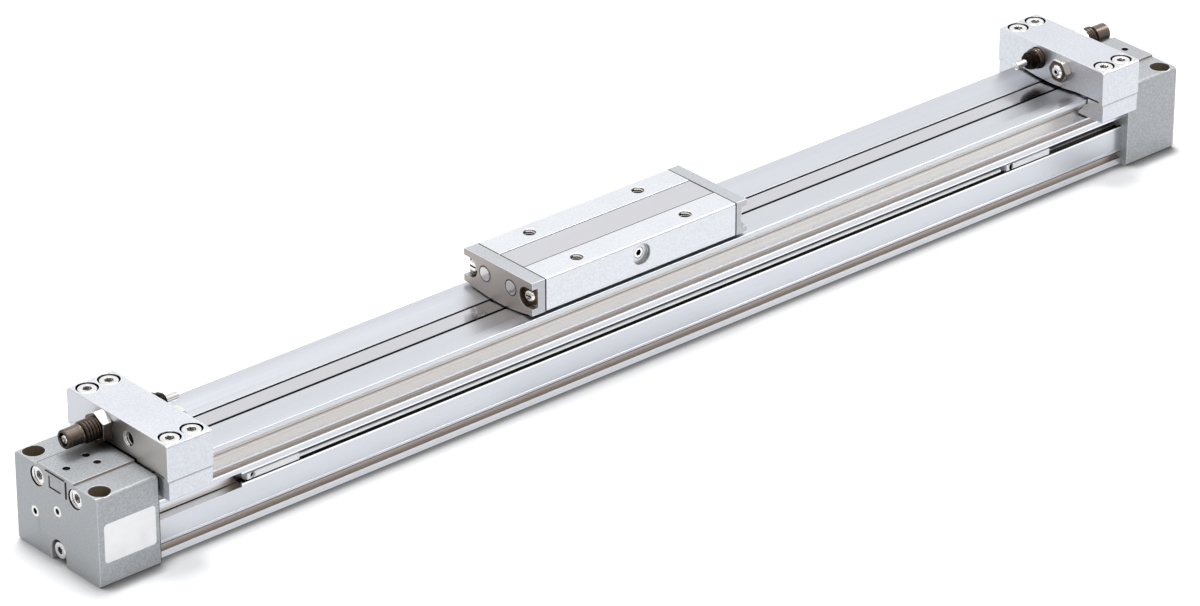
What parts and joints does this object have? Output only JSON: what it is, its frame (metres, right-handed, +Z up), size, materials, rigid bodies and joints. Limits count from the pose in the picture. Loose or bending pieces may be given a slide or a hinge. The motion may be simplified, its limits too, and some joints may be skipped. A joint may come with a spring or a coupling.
{
  "type": "rodless pneumatic cylinder",
  "caption": "Slotted-tube rodless air cylinder with a slide table, end covers, stopper blocks with shock absorbers and adjusting bolts, and groove sensors",
  "frame": {"origin": "middle of the length, on the base that the covers and the tube rest on", "axes": "+X along the stroke, from the left cover to the right one, +Y to the far side where the shock absorbers are, +Z up"},
  "size_m": [0.5008, 0.0544, 0.046],
  "materials": {
    "tube_anodised": "satin clear anodised extrusion",
    "cover_anodised": "satin anodised die casting",
    "block_anodised": "satin clear anodised",
    "table_anodised": "fine satin clear anodised",
    "yoke_aluminium": "machined",
    "boss_aluminium": "machined",
    "screw_steel": "nickel plated steel",
    "screw_chrome": "bright plated steel",
    "nut_nickel": "nickel plated steel",
    "pin_steel": "ground hardened steel",
    "rod_chrome": "hard chrome",
    "absorber_dark": "dark brown oxide on steel",
    "stainless_band": "rolled stainless",
    "stainless_strip": "fine brushed stainless",
    "end_plate_resin": "grey moulded resin",
    "bearing_resin": "dark low-friction resin",
    "piston_resin": "dark moulded resin",
    "belt_resin": "smooth polyurethane",
    "seal_rubber": "black nitrile rubber",
    "sensor_plastic": "light grey moulded plastic",
    "lead_jacket": "light grey vinyl jacket",
    "magnet": "dark bonded magnet"
  },
  "bodies": {
    "cylinder": {"cylinder_tube": "tube_anodised", "belt_magnet_strips": "magnet", "dust_seal_band": "stainless_band", "seal_belt": "belt_resin", "left_end_cover": "cover_anodised", "left_cover_screws": "screw_steel", "left_port_plugs": "screw_steel", "left_tube_gasket": "seal_rubber", "left_cushion_boss": "boss_aluminium", "left_belt_clamp": "yoke_aluminium", "left_belt_clamp_screws": "screw_steel", "left_stopper_block": "block_anodised", "left_clamp_plates": "block_anodised", "left_stopper_block_screws": "screw_steel", "left_absorber_lock_nut": "nut_nickel", "left_adjusting_bolt_nut": "nut_nickel", "right_end_cover": "cover_anodised", "right_cover_screws": "screw_steel", "right_port_plugs": "screw_steel", "right_tube_gasket": "seal_rubber", "right_cushion_boss": "boss_aluminium", "right_belt_clamp": "yoke_aluminium", "right_belt_clamp_screws": "screw_steel", "right_stopper_block": "block_anodised", "right_clamp_plates": "block_anodised", "right_stopper_block_screws": "screw_steel", "right_absorber_lock_nut": "nut_nickel", "right_adjusting_bolt_nut": "nut_nickel"},
    "table": {"slide_table": "table_anodised", "table_top_strip": "stainless_strip", "left_table_end_plate": "end_plate_resin", "right_table_end_plate": "end_plate_resin", "table_end_plate_screws": "screw_chrome", "table_stop_pins": "pin_steel", "table_side_screws": "screw_chrome", "table_bearing_strips": "bearing_resin", "belt_separators": "bearing_resin", "piston_yoke": "yoke_aluminium", "coupling_pins": "pin_steel", "left_piston": "piston_resin", "right_piston": "piston_resin", "piston_screws": "screw_steel", "piston_seals": "seal_rubber", "piston_wear_rings": "bearing_resin", "piston_magnets": "magnet"},
    "left_absorber": {"left_absorber_body": "absorber_dark"},
    "left_absorber_plunger": {"left_absorber_rod": "rod_chrome"},
    "left_adjuster": {"left_adjusting_bolt": "screw_chrome"},
    "left_needle": {"left_cushion_needle": "screw_steel"},
    "right_absorber": {"right_absorber_body": "absorber_dark"},
    "right_absorber_plunger": {"right_absorber_rod": "rod_chrome"},
    "right_adjuster": {"right_adjusting_bolt": "screw_chrome"},
    "right_needle": {"right_cushion_needle": "screw_steel"},
    "left_switch": {"left_sensor": "sensor_plastic", "left_sensor_screw": "screw_steel", "left_sensor_lead": "lead_jacket"},
    "right_switch": {"right_sensor": "sensor_plastic", "right_sensor_screw": "screw_steel"}
  },
  "joints": [
    {"name": "table_travel", "type": "slide", "parent": "cylinder", "child": "table", "axis": [1, 0, 0], "range_m": [-0.13216, 0.15644], "deforming": ["dust_seal_band", "seal_belt"]},
    {"name": "left_absorber_depth", "type": "slide", "parent": "cylinder", "child": "left_absorber", "axis": [-1, 0, 0], "range_m": [0, 0.004]},
    {"name": "left_absorber_stroke", "type": "slide", "parent": "left_absorber", "child": "left_absorber_plunger", "axis": [-1, 0, 0], "range_m": [0, 0.006], "stiffness_N_per_m": 377, "springref_m": -0.0052},
    {"name": "left_adjusting_bolt_travel", "type": "slide", "parent": "cylinder", "child": "left_adjuster", "axis": [1, 0, 0], "range_m": [-0.0012, 0.006]},
    {"name": "left_cushion_needle_turn", "type": "hinge", "parent": "cylinder", "child": "left_needle", "pos_m": [-0.2454, 0, 0.03], "axis": [0, 0, 1], "range_deg": [-180, 360]},
    {"name": "right_absorber_depth", "type": "slide", "parent": "cylinder", "child": "right_absorber", "axis": [1, 0, 0], "range_m": [0, 0.004]},
    {"name": "right_absorber_stroke", "type": "slide", "parent": "right_absorber", "child": "right_absorber_plunger", "axis": [1, 0, 0], "range_m": [0, 0.006], "stiffness_N_per_m": 377, "springref_m": -0.0052},
    {"name": "right_adjusting_bolt_travel", "type": "slide", "parent": "cylinder", "child": "right_adjuster", "axis": [-1, 0, 0], "range_m": [-0.0012, 0.006]},
    {"name": "right_cushion_needle_turn", "type": "hinge", "parent": "cylinder", "child": "right_needle", "pos_m": [0.2454, 0, 0.03], "axis": [0, 0, 1], "range_deg": [-180, 360]},
    {"name": "left_sensor_position", "type": "slide", "parent": "cylinder", "child": "left_switch", "axis": [1, 0, 0], "range_m": [-0.0385, 0.001]},
    {"name": "right_sensor_position", "type": "slide", "parent": "cylinder", "child": "right_switch", "axis": [1, 0, 0], "range_m": [-0.001, 0.0372]}
  ]
}
